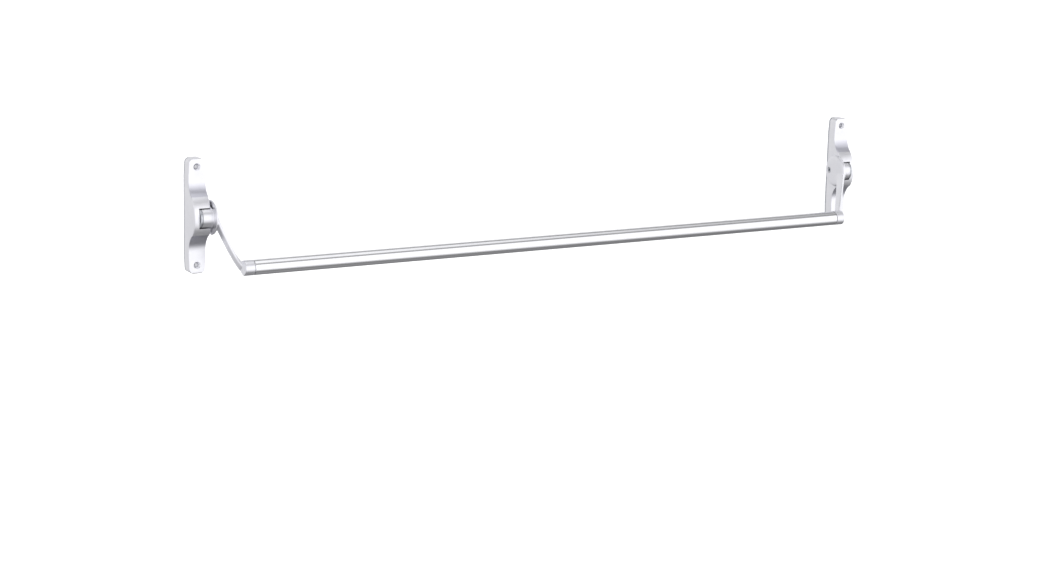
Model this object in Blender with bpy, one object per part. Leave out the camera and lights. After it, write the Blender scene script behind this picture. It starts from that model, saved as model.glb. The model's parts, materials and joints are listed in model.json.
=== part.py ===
"""Panic exit bar: a crossbar exit device for a single door, with its hidden works.

The frame is the door's: +X runs along the bar to the lock side, +Y goes into the door and
+Z is up. The origin is the centre of the lock-side bracket's back face. Each bracket is
described by three local lengths, the same on both sides: u runs inward along the bar from
the bracket's middle, v stands out from the door, and w is the height from its middle.
"""
import math

import bmesh
import bpy
from mathutils import Vector

MM = 0.001
GAP = 0.3 * MM                      # clearance kept between neighbouring pieces

# Driving dimensions of the whole device
BRACKET_SPACING = 1112 * MM         # between the two brackets' middles
PIVOT_DEPTH = 31 * MM               # from the door to the lever pivot
BAR_DEPTH = 85 * MM                 # from the door to the crossbar's axis, at rest
BAR_DROP = 65 * MM                  # from the pivot down to the crossbar's axis
TUBE_RADIUS = 11.1 * MM
TUBE_WALL = 1.6 * MM
TUBE_JOINT = 0.8 * MM               # open joint between the tube's end and the lever's elbow

# Bracket housing, its side profile and front outline
PLATE_THICK = 3 * MM
HOUSING_BACK = PLATE_THICK + GAP
BRACKET_HALF_HEIGHT = 82.5 * MM
BRACKET_HALF_WIDTH = 13 * MM
END_HALF_WIDTH = 12 * MM
END_CORNER = 7 * MM
TAPER_START = 58 * MM
PAD_DEPTH = 18 * MM
PAD_EDGE = 1.5 * MM
CROWN_DEPTH = 41 * MM
CROWN_RADIUS = 43.5 * MM
CROWN_HEIGHT = -1 * MM
CREASE_TOP = 30 * MM
CREASE_BOTTOM = -25 * MM
FILLET_RADIUS = 28.5 * MM
WALL = 3.5 * MM
CHEEK = 5 * MM                      # inner face of the outer cheek is at u = -CHEEK
POCKET_HALF_WIDTH = 9.5 * MM
POCKET_START = 19 * MM
POCKET_END = 44 * MM
CHAMBER_DEPTH = 15 * MM
HUB_BORE = 16.4 * MM
CUT_PAST = 3.5 * MM                 # how far a cutter runs on beyond the face it opens
MOUNT_HEIGHT = 70.5 * MM
MOUNT_HOLE = 3.2 * MM
MOUNT_SINK = 5.2 * MM
MOUNT_SINK_DEPTH = 2.4 * MM
PLATE_SCREW_HEIGHT = 56 * MM
PLATE_SCREW_HOLE = 2.3 * MM
PLATE_SCREW_DEPTH = 14.5 * MM
PLATE_SINK = 4.3 * MM
PLATE_SINK_START = 0.2 * MM
PLATE_SINK_END = 2.2 * MM
WINDOW_ACROSS = (-2 * MM, 8 * MM)   # opening in the lock-side plate for the rod connector
WINDOW_UP = (-33 * MM, -18 * MM)
NOTCH_REACH = 13 * MM               # sector where the return spring's fixed leg swings
NOTCH_START = -100                  # degrees from straight back, upward positive
NOTCH_END = -58

# Lever arm, running from the hub's outer end to the spigot in the tube
HUB_RADIUS = 15 * MM
HUB_START = -1.3 * MM
TENON_START = -3.6 * MM
TENON_RADIUS = 11 * MM
TENON_FLAT = 7.6 * MM
DISC_RADIUS = 25 * MM
DISC_START = 14.5 * MM
DISC_BACK_EDGE = 1.2 * MM
DOME_RISE = 3.6 * MM                # how the disc's inner face falls away to its rim
DOME_RUN = 7 * MM
HUB_HOLE = 5.0 * MM
HUB_HOLE_END = 15.8 * MM
ELBOW_START = 41.3 * MM
ELBOW_END = 56 * MM
ELBOW_EDGE = 2 * MM
SPIGOT_END = 90 * MM
SPIGOT_RADIUS = TUBE_RADIUS - TUBE_WALL - GAP
SPIGOT_EDGE = 1 * MM
TUBE_SCREWS = (66 * MM, 81 * MM)
TUBE_SCREW_RADIUS = 2.2 * MM
TUBE_SCREW_SINK = 0.4 * MM          # how far the screw's foot lies inside the tube's surface
TUBE_SCREW_REACH = 4 * MM           # how near the holes come to the bar's axis
TUBE_SCREW_SOCKET = (1.3 * MM, 2.4 * MM)    # hexagon's corner radius and depth
DOG_DEPTH = 18 * MM
DOG_RADIUS = 4.2 * MM
DOG_SOCKET = (2.6 * MM, 3.2 * MM)

# Stations of the lever's blade: middle (u, v, w), half width, half thickness, lean, splay
BLADE = (
    ((16.8 * MM, 41.0 * MM, 5.0 * MM), 9.0 * MM, 1.9 * MM, 15, 5),
    ((20.2 * MM, 49.0 * MM, -10.5 * MM), 8.6 * MM, 2.5 * MM, 14, 16),
    ((28.9 * MM, 60.0 * MM, -35.5 * MM), 7.5 * MM, 2.4 * MM, 16, 20),
    ((36.2 * MM, 68.6 * MM, -53.0 * MM), 6.9 * MM, 2.5 * MM, 22, 24),
    ((42.2 * MM, 76.5 * MM, -63.5 * MM), 7.2 * MM, 3.2 * MM, 30, 28),
    ((45.5 * MM, 81.0 * MM, -67.5 * MM), 6.8 * MM, 3.4 * MM, 35, 28),
)

# Countersunk plate screw
SCREW_HEAD = 3.8 * MM
SCREW_HEAD_START = 0.3 * MM
SCREW_HEAD_RIM = 0.2 * MM
SCREW_NECK = 2.3 * MM
SCREW_RADIUS = 2 * MM
SCREW_END = 14.1 * MM
SCREW_POINT = 0.6 * MM
SCREW_SOCKET = (1.5 * MM, 2 * MM)

# Pivot works inside the housing
SHAFT_RADIUS = 3.5 * MM
SHAFT_START = -10.2 * MM
SHAFT_END = 15.4 * MM
SHAFT_EDGE = 0.5 * MM
OUTER_BUSH = (-3.4 * MM, 3.6 * MM)
INNER_BUSH = (8.2 * MM, 15.2 * MM)
BOSS_RADIUS = 5.6 * MM
SPRING_POCKET = 8.0 * MM
SPRING_POCKET_FLOOR = -10.5 * MM
SPRING_RADIUS = 7 * MM
SPRING_WIRE = 0.6 * MM
SPRING_TURNS = 2.25
SPRING_COIL = (-9.7 * MM, -5.9 * MM)
SPRING_BEND = 1.2 * MM
SPRING_FIXED_LEG = 11.5 * MM
SPRING_LEG_END = -1.4 * MM
SPRING_LEG_HOLE = 1 * MM
CAM_START = -4.6 * MM
CAM_END = -1.6 * MM
CAM_RADIUS = 14.8 * MM
FINGER_REACH = 24 * MM
FINGER_HALF = 3 * MM
BUMPER_MIDDLE = -2.5 * MM
BUMPER_HALF_WIDTH = 2 * MM
BUMPER_FRONT = 13.5 * MM
BUMPER_STEM = 1.8 * MM
BUMPER_STEM_HOLE = 2.1 * MM
REST_BUMPER = (-7.1 * MM, 3.6 * MM)     # middle height, half height
PRESS_BUMPER = (15.5 * MM, 2.9 * MM)

# Lift slide in the lock-side housing
SLIDE_LOW = -43.5 * MM
SLIDE_TOP = 16 * MM
SLIDE_WIDTH = 6 * MM
SLIDE_BACK = 4 * MM
SLIDE_FRONT = 8 * MM
SLIDE_SLOT_HEIGHT = -30 * MM
SLIDE_SLOT_HALF = 2.5 * MM
SLIDE_SLOT_MARGIN = 1.2 * MM
LEDGE_HEIGHT = 4 * MM
LEDGE_FRONT = 13 * MM
GUIDE_LEG = 1.3 * MM
UPPER_GUIDE = (-16 * MM, -11.5 * MM)
LOWER_GUIDE = (-38.5 * MM, -34 * MM)
SLIDE_SPRING_DEPTH = 7.2 * MM
SLIDE_SPRING_RADIUS = 2.6 * MM
SLIDE_SPRING_WIRE = 0.45 * MM
SLIDE_SPRING_TURNS = 7

FINE = 40                           # facets round a large turned piece
SMALL = 16                          # facets round a small one
STEM_FACETS = 14                    # facets round a bumper's stem and its hole

MATERIALS = {                       # base colour, metallic, roughness
    "cast_aluminium": ((0.80, 0.80, 0.84), 1.0, 0.32),
    "bar_aluminium": ((0.82, 0.82, 0.86), 1.0, 0.22),
    "zinc_steel": ((0.62, 0.63, 0.65), 1.0, 0.40),
    "dark_steel": ((0.16, 0.16, 0.18), 1.0, 0.45),
    "spring_steel": ((0.45, 0.46, 0.48), 1.0, 0.35),
    "bronze": ((0.70, 0.48, 0.25), 1.0, 0.40),
    "rubber": ((0.03, 0.03, 0.03), 0.0, 0.80),
}


class Side:
    """One bracket's own lengths u, v, w, and the way they sit in the door's frame."""

    def __init__(self, name, centre, inward, disc_end):
        self.name = name
        self.centre = centre
        self.inward = inward
        self.disc_end = disc_end    # inner face of the lever's head disc

    def at(self, u, v, w):
        return Vector((self.centre + self.inward * u, -v, w))


LOCK = Side("lock", 0.0, -1, 20.5 * MM)
HINGE = Side("hinge", -BRACKET_SPACING, 1, 18.8 * MM)
PIVOT = Vector((0.0, -PIVOT_DEPTH, 0.0))
ROOT = Vector((0.0, 0.0, 0.0))


# Tools: each makes one closed mesh object -------------------------------------------------

def clear_scene():
    for item in list(bpy.data.objects):
        bpy.data.objects.remove(item, do_unlink=True)


def make_material(name):
    colour, metallic, roughness = MATERIALS[name]
    material = bpy.data.materials.new(name)
    material.use_nodes = True
    shader = material.node_tree.nodes["Principled BSDF"]
    shader.inputs["Base Color"].default_value = (*colour, 1.0)
    shader.inputs["Metallic"].default_value = metallic
    shader.inputs["Roughness"].default_value = roughness
    return material


def add_object(name, points, faces, origin=ROOT):
    """Make a closed mesh from world points, with the object's origin where it turns."""
    shape = bmesh.new()
    corners = [shape.verts.new(Vector(point) - origin) for point in points]
    for face in faces:
        shape.faces.new([corners[index] for index in face])
    bmesh.ops.recalc_face_normals(shape, faces=shape.faces)
    mesh = bpy.data.meshes.new(name)
    shape.to_mesh(mesh)
    shape.free()
    made = bpy.data.objects.new(name, mesh)
    made.location = origin
    bpy.context.scene.collection.objects.link(made)
    return made


def loft(name, sections, origin=ROOT, closed=False):
    """Join rings of points, each with the same count, and cap the ends if it isn't a loop."""
    count = len(sections[0])
    points = [point for section in sections for point in section]
    faces = []
    rings = len(sections) if closed else len(sections) - 1
    for ring in range(rings):
        here = ring * count
        there = (ring + 1) % len(sections) * count
        for k in range(count):
            after = (k + 1) % count
            faces.append((here + k, here + after, there + after, there + k))
    if not closed:
        faces.append(tuple(range(count)))
        faces.append(tuple(len(points) - count + k for k in range(count)))
    return add_object(name, points, faces, origin)


def prism(name, outline, low, high, place, origin=ROOT):
    """Extrude an outline of pairs between two levels; place(a, b, level) gives the point."""
    sections = [[place(a, b, level) for a, b in outline] for level in (low, high)]
    return loft(name, sections, origin)


def box(name, side, u, v, w, origin=ROOT):
    corners = ((u[0], v[0]), (u[1], v[0]), (u[1], v[1]), (u[0], v[1]))
    return prism(name, corners, w[0], w[1], side.at, origin)


def turned(name, side, profile, centre, along="u", facets=FINE, origin=ROOT, ring=False):
    """Turn a profile of (position, radius) pairs about a line parallel to u, v or w.

    centre holds the line's other two local lengths. A ring's profile is a closed loop.
    """
    def place(level, a, b):
        first, second = centre[0] + a, centre[1] + b
        order = {"u": (level, first, second), "v": (first, level, second), "w": (first, second, level)}[along]
        return side.at(*order)

    sections = []
    for level, radius in profile:
        angles = [2 * math.pi * k / facets for k in range(facets)]
        sections.append([place(level, radius * math.cos(t), radius * math.sin(t)) for t in angles])
    return loft(name, sections, origin, closed=ring)


def tube_ring(name, side, low, high, inner, outer, centre, along="u", facets=SMALL, origin=ROOT):
    profile = ((low, inner), (low, outer), (high, outer), (high, inner))
    return turned(name, side, profile, centre, along, facets, origin, ring=True)


def wire(name, path, radius, sides=5, origin=ROOT):
    """Sweep a round wire along world points, carrying its frame smoothly round the bends."""
    sections = []
    across = None
    for index, point in enumerate(path):
        before = path[max(index - 1, 0)]
        after = path[min(index + 1, len(path) - 1)]
        along = (after - before).normalized()
        if across is None:
            across = along.orthogonal().normalized()
        across = (across - along * across.dot(along)).normalized()
        up = along.cross(across)
        angles = [2 * math.pi * k / sides for k in range(sides)]
        sections.append([point + radius * (across * math.cos(t) + up * math.sin(t)) for t in angles])
    return loft(name, sections, origin)


def combine(target, operation, *others):
    """Cut with, join or keep the overlap with helper shapes, which stay as hidden guides."""
    for other in others:
        change = target.modifiers.new(other.name, "BOOLEAN")
        change.operation = operation
        change.solver = "EXACT"
        change.object = other
        other.hide_render = True
        other.display_type = "WIRE"


def cut(target, *others):
    combine(target, "DIFFERENCE", *others)


def join(target, *others):
    combine(target, "UNION", *others)


def finish(made, material, smooth_angle=32):
    made.data.materials.append(MADE_MATERIALS[material])
    made.data.shade_smooth()
    made.data.set_sharp_from_angle(angle=math.radians(smooth_angle))
    return made


def arc(centre, radius, start, end, steps):
    """Points (a, b) along a circle's arc, its ends included, angles in degrees."""
    angles = [math.radians(start + (end - start) * k / steps) for k in range(steps + 1)]
    return [(centre[0] + radius * math.cos(t), centre[1] + radius * math.sin(t)) for t in angles]


# Bracket ----------------------------------------------------------------------------------

def crown_depth(height):
    reach = height - CROWN_HEIGHT
    return CROWN_DEPTH - CROWN_RADIUS + math.sqrt(CROWN_RADIUS ** 2 - reach ** 2)


def fillet_points(crease, steps=7):
    """Concave arc from a pad's flat front to the crown's edge, pad end first, as (v, w)."""
    way = 1 if crease > 0 else -1
    rise = crown_depth(crease) - PAD_DEPTH
    run = math.sqrt(FILLET_RADIUS ** 2 - (FILLET_RADIUS - rise) ** 2)
    start = crease + way * run
    points = []
    for k in range(steps + 1):
        height = start - way * run * k / steps
        sink = math.sqrt(FILLET_RADIUS ** 2 - (start - height) ** 2)
        points.append((PAD_DEPTH + FILLET_RADIUS - sink, height))
    return points


def front_profile(crown_steps=14):
    """The housing's front in side view, from its top end to its bottom end, as (v, w)."""
    crown = []
    for k in range(1, crown_steps):
        height = CREASE_TOP + (CREASE_BOTTOM - CREASE_TOP) * k / crown_steps
        crown.append((crown_depth(height), height))
    top = BRACKET_HALF_HEIGHT
    start = [(PAD_DEPTH - PAD_EDGE, top), (PAD_DEPTH, top - PAD_EDGE)]
    end = [(PAD_DEPTH, PAD_EDGE - top), (PAD_DEPTH - PAD_EDGE, -top)]
    return start + fillet_points(CREASE_TOP) + crown + fillet_points(CREASE_BOTTOM)[::-1] + end


def bracket_outline(corner_steps=5):
    """The bracket's front outline, (u, w) all round: straight sides, narrowed rounded ends."""
    across, up = END_HALF_WIDTH - END_CORNER, BRACKET_HALF_HEIGHT - END_CORNER
    outline = [(BRACKET_HALF_WIDTH, -TAPER_START), (BRACKET_HALF_WIDTH, TAPER_START)]
    outline += arc((across, up), END_CORNER, 0, 90, corner_steps)
    outline += arc((-across, up), END_CORNER, 90, 180, corner_steps)
    outline += [(-BRACKET_HALF_WIDTH, TAPER_START), (-BRACKET_HALF_WIDTH, -TAPER_START)]
    outline += arc((-across, -up), END_CORNER, 180, 270, corner_steps)
    outline += arc((across, -up), END_CORNER, 270, 360, corner_steps)
    return outline


def pocket(side, low, high):
    """Hollow behind the front wall between two heights, open at the back, as a cutter."""
    front = [(v - WALL, w) for v, w in front_profile() if low < w < high]
    edge = [(depth_at(high) - WALL, high), *front, (depth_at(low) - WALL, low)]
    outline = [(-CUT_PAST, high), *edge, (-CUT_PAST, low)]
    return prism("cut_pocket", outline, -POCKET_HALF_WIDTH, POCKET_HALF_WIDTH,
                 lambda v, w, u: side.at(u, v, w))


def depth_at(height):
    """Depth of the housing's front at a height, read off the side profile."""
    profile = front_profile()
    for (v0, w0), (v1, w1) in zip(profile, profile[1:]):
        if w1 <= height <= w0:
            return v0 + (v1 - v0) * (w0 - height) / (w0 - w1)
    raise ValueError("height is off the housing")


def mount_hole(side, height):
    """Countersunk mounting hole, right through the housing's end pad, as a cutter."""
    profile = ((-CUT_PAST, MOUNT_HOLE), (PAD_DEPTH - MOUNT_SINK_DEPTH, MOUNT_HOLE),
               (PAD_DEPTH, MOUNT_SINK), (PAD_DEPTH + CUT_PAST, MOUNT_SINK))
    return turned("cut_mount_hole", side, profile, (0, height), "v", SMALL)


def spring_notch(side):
    """Sector behind the spring pocket where the fixed leg swings, as a cutter."""
    outline = [(0, 0), *arc((0, 0), NOTCH_REACH, NOTCH_START, NOTCH_END, 4)]
    notch = prism("cut_notch", outline, SPRING_POCKET_FLOOR, 0,
                  lambda back, up, u: side.at(u, PIVOT_DEPTH - back, up))
    radius = (BOSS_RADIUS + SPRING_POCKET) / 2
    profile = ((SPRING_POCKET_FLOOR - CUT_PAST, radius), (CUT_PAST, radius))
    cut(notch, turned("keep_core", side, profile, (PIVOT_DEPTH, 0)))
    return notch


def make_housing(side):
    outline = [(HOUSING_BACK, BRACKET_HALF_HEIGHT), *front_profile(), (HOUSING_BACK, -BRACKET_HALF_HEIGHT)]
    housing = prism(side.name + "_housing", outline, -BRACKET_HALF_WIDTH, BRACKET_HALF_WIDTH,
                    lambda v, w, u: side.at(u, v, w))
    combine(housing, "INTERSECT", prism("keep_outline", bracket_outline(), -CUT_PAST, 2 * CROWN_DEPTH,
                                        lambda u, w, v: side.at(u, v, w)))
    pivot = (PIVOT_DEPTH, 0)
    chamber = box("cut_chamber", side, (-CHEEK, POCKET_HALF_WIDTH), (-CUT_PAST, CHAMBER_DEPTH),
                  (-POCKET_END + GAP, POCKET_END - GAP))
    throat = box("cut_throat", side, (-CHEEK + GAP / 2, POCKET_HALF_WIDTH - GAP),
                 (-CUT_PAST - GAP, PIVOT_DEPTH - 2 * WALL), (-HUB_RADIUS + WALL, HUB_RADIUS - WALL))
    bore = turned("cut_bore", side, ((-CHEEK - GAP / 4, HUB_BORE), (side.disc_end, HUB_BORE)), pivot)
    ring = tube_ring("cut_spring", side, SPRING_POCKET_FLOOR, 0, BOSS_RADIUS, SPRING_POCKET, pivot,
                     facets=FINE)
    socket = turned("cut_socket", side, ((SHAFT_START - GAP, SHAFT_RADIUS + GAP), (0, SHAFT_RADIUS + GAP)),
                    pivot, facets=SMALL)
    cut(housing, pocket(side, POCKET_START, POCKET_END), pocket(side, -POCKET_END, -POCKET_START),
        chamber, throat, bore, ring, spring_notch(side), socket)
    for way in (1, -1):
        profile = ((0, PLATE_SCREW_HOLE), (PLATE_SCREW_DEPTH, PLATE_SCREW_HOLE))
        screw_hole = turned("cut_plate_screw", side, profile, (0, way * PLATE_SCREW_HEIGHT), "v", SMALL)
        cut(housing, mount_hole(side, way * MOUNT_HEIGHT), screw_hole)
    return finish(housing, "cast_aluminium")


def bumpers(side):
    """A bracket's stop bumpers, as (label, middle height, half height)."""
    rest, press = ("rest", *REST_BUMPER), ("press", *PRESS_BUMPER)
    return (rest, press) if side is HINGE else (rest,)


def make_back_plate(side):
    plate = prism(side.name + "_back_plate", bracket_outline(), 0, PLATE_THICK,
                  lambda u, w, v: side.at(u, v, w))
    end = PLATE_THICK + CUT_PAST
    for way in (1, -1):
        mount = turned("cut_mount", side, ((-CUT_PAST, MOUNT_HOLE), (end, MOUNT_HOLE)),
                       (0, way * MOUNT_HEIGHT), "v", SMALL)
        sink = ((-CUT_PAST, PLATE_SINK), (PLATE_SINK_START, PLATE_SINK),
                (PLATE_SINK_END, PLATE_SCREW_HOLE), (end, PLATE_SCREW_HOLE))
        screw = turned("cut_screw", side, sink, (0, way * PLATE_SCREW_HEIGHT), "v", SMALL)
        cut(plate, mount, screw)
    for _, height, _ in bumpers(side):
        stem = turned("cut_stem", side, ((-CUT_PAST, BUMPER_STEM_HOLE), (end, BUMPER_STEM_HOLE)),
                      (BUMPER_MIDDLE, height), "v", STEM_FACETS)
        cut(plate, stem)
    if side is LOCK:
        cut(plate, box("cut_window", side, WINDOW_ACROSS, (-CUT_PAST, end), WINDOW_UP))
    return finish(plate, "zinc_steel")


def hex_socket(side, socket, face, way, centre, along):
    """Hexagon socket sunk into a face, as a cutter; way is the sense that leads out of it."""
    radius, depth = socket
    ends = sorted((face - way * depth, face + way * CUT_PAST))
    return turned("cut_hex", side, [(end, radius) for end in ends], centre, along, 6)


def make_plate_screw(side, way, label):
    """Countersunk screw from behind, with a hexagon socket, flush in the back plate."""
    profile = ((SCREW_HEAD_START, SCREW_HEAD), (SCREW_HEAD_START + SCREW_HEAD_RIM, SCREW_HEAD),
               (SCREW_NECK, SCREW_RADIUS), (SCREW_END - SCREW_POINT, SCREW_RADIUS),
               (SCREW_END, SCREW_RADIUS - SCREW_POINT))
    centre = (0, way * PLATE_SCREW_HEIGHT)
    screw = turned(f"{side.name}_plate_screw_{label}", side, profile, centre, "v", SMALL)
    cut(screw, hex_socket(side, SCREW_SOCKET, SCREW_HEAD_START, -1, centre, "v"))
    return finish(screw, "dark_steel")


def make_bumper(side, label, height, half_height):
    """Rubber block that a cam finger lands on, with a stem that snaps into the back plate."""
    bumper = box(f"{side.name}_{label}_bumper", side,
                 (BUMPER_MIDDLE - BUMPER_HALF_WIDTH, BUMPER_MIDDLE + BUMPER_HALF_WIDTH),
                 (HOUSING_BACK, BUMPER_FRONT), (height - half_height, height + half_height))
    stem = turned("join_stem", side, ((GAP, BUMPER_STEM), (HOUSING_BACK + CUT_PAST, BUMPER_STEM)),
                  (BUMPER_MIDDLE, height), "v", STEM_FACETS)
    join(bumper, stem)
    return finish(bumper, "rubber")


# Lever arm and crossbar -------------------------------------------------------------------

def blade_section(side, middle, half_width, half_thick, lean, splay, corners=8):
    """Rounded oblong section of the blade: lean tips its width, splay turns its thickness."""
    wide = Vector((0, math.cos(math.radians(lean)), math.sin(math.radians(lean))))
    thick = Vector((math.cos(math.radians(splay)), 0, math.sin(math.radians(splay))))
    points = []
    for k in range(2 * corners):
        turn = 2 * math.pi * (k + 0.5) / (2 * corners)
        a = abs(math.cos(turn)) ** 0.5 * math.copysign(half_width, math.cos(turn))
        b = abs(math.sin(turn)) ** 0.5 * math.copysign(half_thick, math.sin(turn))
        points.append(side.at(*(Vector(middle) + wide * a + thick * b)))
    return points


def head_profile(side, dome_steps=4):
    """The hub and the domed disc at its inner end, as (u, radius) from the outer end."""
    profile = [(HUB_START, HUB_RADIUS), (DISC_START, HUB_RADIUS),
               (DISC_START + GAP, DISC_RADIUS - DISC_BACK_EDGE)]
    rim = side.disc_end - DOME_RISE
    for k in range(dome_steps + 1):
        turn = math.pi / 2 * k / dome_steps
        profile.append((rim + DOME_RISE * math.sin(turn), DISC_RADIUS - DOME_RUN * (1 - math.cos(turn))))
    return profile


def slab(name, side, half_deep, half_high, low, high):
    """Oblong block round the pivot's line with its ends rounded to the oblong's half depth."""
    flat = [(-half_deep, -half_high), (half_deep, -half_high),
            (half_deep, half_high), (-half_deep, half_high)]
    block = prism("join_" + name, flat, low, high, lambda v, w, u: side.at(u, PIVOT_DEPTH + v, w))
    limit = turned("keep_" + name, side, ((low - CUT_PAST, half_deep), (high + CUT_PAST, half_deep)),
                   (PIVOT_DEPTH, 0))
    combine(block, "INTERSECT", limit)
    return block


def tube_screw_hole(side, along):
    """Hole for a tube screw, from below up towards the bar's axis, as a cutter."""
    radius = TUBE_SCREW_RADIUS + GAP
    profile = ((-BAR_DROP - TUBE_RADIUS - CUT_PAST, radius), (-BAR_DROP - TUBE_SCREW_REACH, radius))
    return turned("cut_tube_screw", side, profile, (along, BAR_DEPTH), "w", SMALL)


def make_lever_arm(side):
    pivot, bar = (PIVOT_DEPTH, 0), (BAR_DEPTH, -BAR_DROP)
    arm = turned(side.name + "_lever_arm", side, head_profile(side), pivot, origin=PIVOT)
    blade = loft("join_blade", [blade_section(side, *station) for station in BLADE])
    elbow = turned("join_elbow", side, ((ELBOW_START, TUBE_RADIUS - ELBOW_EDGE),
                                        (ELBOW_START + ELBOW_EDGE, TUBE_RADIUS),
                                        (ELBOW_END, TUBE_RADIUS)), bar)
    spigot = turned("join_spigot", side, ((ELBOW_END - WALL, SPIGOT_RADIUS),
                                          (SPIGOT_END - SPIGOT_EDGE, SPIGOT_RADIUS),
                                          (SPIGOT_END, SPIGOT_RADIUS - SPIGOT_EDGE)), bar, facets=SMALL)
    join(arm, slab("tenon", side, TENON_RADIUS, TENON_FLAT, TENON_START, HUB_START + WALL),
         blade, elbow, spigot)
    cut(arm, turned("cut_hub", side, ((TENON_START - CUT_PAST, HUB_HOLE), (HUB_HOLE_END, HUB_HOLE)),
                    pivot, facets=SMALL))
    leg_end = SPRING_LEG_END + SPRING_LEG_HOLE
    cut(arm, turned("cut_leg", side, ((TENON_START - CUT_PAST, SPRING_LEG_HOLE), (leg_end, SPRING_LEG_HOLE)),
                    (PIVOT_DEPTH - SPRING_RADIUS, 0), facets=SMALL))
    cut(arm, *[tube_screw_hole(side, along) for along in TUBE_SCREWS])
    if side is LOCK:
        hole = DOG_RADIUS + GAP
        cut(arm, turned("cut_dog", side, ((0, hole), (side.disc_end + CUT_PAST, hole)),
                        (DOG_DEPTH, 0), facets=SMALL))
    return finish(arm, "cast_aluminium")


def make_crossbar():
    low, high = ELBOW_END + TUBE_JOINT, BRACKET_SPACING - ELBOW_END - TUBE_JOINT
    tube = tube_ring("crossbar_tube", HINGE, low, high, TUBE_RADIUS - TUBE_WALL, TUBE_RADIUS,
                     (BAR_DEPTH, -BAR_DROP), facets=FINE, origin=PIVOT)
    for side in (HINGE, LOCK):
        cut(tube, *[tube_screw_hole(side, along) for along in TUBE_SCREWS])
    return finish(tube, "bar_aluminium")


def make_tube_screw(side, along, label):
    """Socket set screw that fixes the tube on the lever's spigot, from below."""
    low = -BAR_DROP - TUBE_RADIUS + TUBE_SCREW_SINK
    high = -BAR_DROP - TUBE_SCREW_REACH - TUBE_SCREW_SINK
    centre = (along, BAR_DEPTH)
    profile = ((low, TUBE_SCREW_RADIUS), (high - MM, TUBE_SCREW_RADIUS), (high, TUBE_SCREW_RADIUS - MM))
    screw = turned(f"{side.name}_tube_screw_{label}", side, profile, centre, "w", SMALL, PIVOT)
    cut(screw, hex_socket(side, TUBE_SCREW_SOCKET, low, -1, centre, "w"))
    return finish(screw, "dark_steel")


def make_dogging_screw():
    """Quarter-turn socket screw in the lock-side disc, which holds the bar down when set."""
    centre = (DOG_DEPTH, 0)
    low, high = DISC_START + GAP, LOCK.disc_end - GAP
    profile = ((low, DOG_RADIUS - 2 * GAP), (low + 2 * GAP, DOG_RADIUS),
               (high - GAP, DOG_RADIUS), (high, DOG_RADIUS - GAP))
    screw = turned("dogging_screw", LOCK, profile, centre, facets=SMALL,
                   origin=LOCK.at(0, DOG_DEPTH, 0))
    cut(screw, hex_socket(LOCK, DOG_SOCKET, high, 1, centre, "u"))
    return finish(screw, "zinc_steel")


# Pivot works ------------------------------------------------------------------------------

def make_shaft(side):
    profile = ((SHAFT_START, SHAFT_RADIUS - SHAFT_EDGE), (SHAFT_START + SHAFT_EDGE, SHAFT_RADIUS),
               (SHAFT_END - SHAFT_EDGE, SHAFT_RADIUS), (SHAFT_END, SHAFT_RADIUS - SHAFT_EDGE))
    shaft = turned(side.name + "_pivot_shaft", side, profile, (PIVOT_DEPTH, 0), facets=SMALL)
    return finish(shaft, "zinc_steel")


def make_bush(side, label, ends):
    bush = tube_ring(f"{side.name}_{label}_bush", side, *ends, SHAFT_RADIUS + GAP, HUB_HOLE - GAP,
                     (PIVOT_DEPTH, 0), origin=PIVOT)
    return finish(bush, "bronze")


def make_thrust_washer(side):
    washer = tube_ring(side.name + "_thrust_washer", side, -CHEEK + GAP, TENON_START - GAP,
                       SHAFT_RADIUS + GAP, BOSS_RADIUS - GAP, (PIVOT_DEPTH, 0), origin=PIVOT)
    return finish(washer, "bronze")


def make_torsion_spring(side):
    """Return spring round the boss: one leg lies in the cheek's notch, one in the hub's tenon."""
    def on_coil(angle, radius, u):
        return side.at(u, PIVOT_DEPTH - radius * math.cos(angle), radius * math.sin(angle))

    start, (low, high) = -math.pi / 2, SPRING_COIL
    steps = round(SPRING_TURNS * 14)
    path = [on_coil(start, SPRING_FIXED_LEG, low), on_coil(start, SPRING_RADIUS + SPRING_BEND, low)]
    for k in range(steps + 1):
        share = k / steps
        turn = start + share * SPRING_TURNS * 2 * math.pi
        path.append(on_coil(turn, SPRING_RADIUS, low + share * (high - low)))
    path.append(on_coil(0, SPRING_RADIUS, high + SPRING_BEND))
    path.append(on_coil(0, SPRING_RADIUS, SPRING_LEG_END))
    return finish(wire(side.name + "_torsion_spring", path, SPRING_WIRE, origin=PIVOT), "spring_steel")


def make_cam(side, name):
    """Plate on the hub's tenon, with a finger that points back into the housing."""
    pivot = (PIVOT_DEPTH, 0)
    cam = turned(name, side, ((CAM_START, CAM_RADIUS), (CAM_END, CAM_RADIUS)), pivot, origin=PIVOT)
    root = PIVOT_DEPTH - CAM_RADIUS + WALL
    join(cam, box("join_finger", side, (CAM_START, CAM_END), (PIVOT_DEPTH - FINGER_REACH, root),
                  (-FINGER_HALF, FINGER_HALF)))
    cut(cam, slab("tenon_hole", side, TENON_RADIUS + GAP, TENON_FLAT + GAP, CAM_START - CUT_PAST,
                  CAM_END + CUT_PAST))
    return finish(cam, "zinc_steel")


# Lift works in the lock-side housing ------------------------------------------------------

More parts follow.
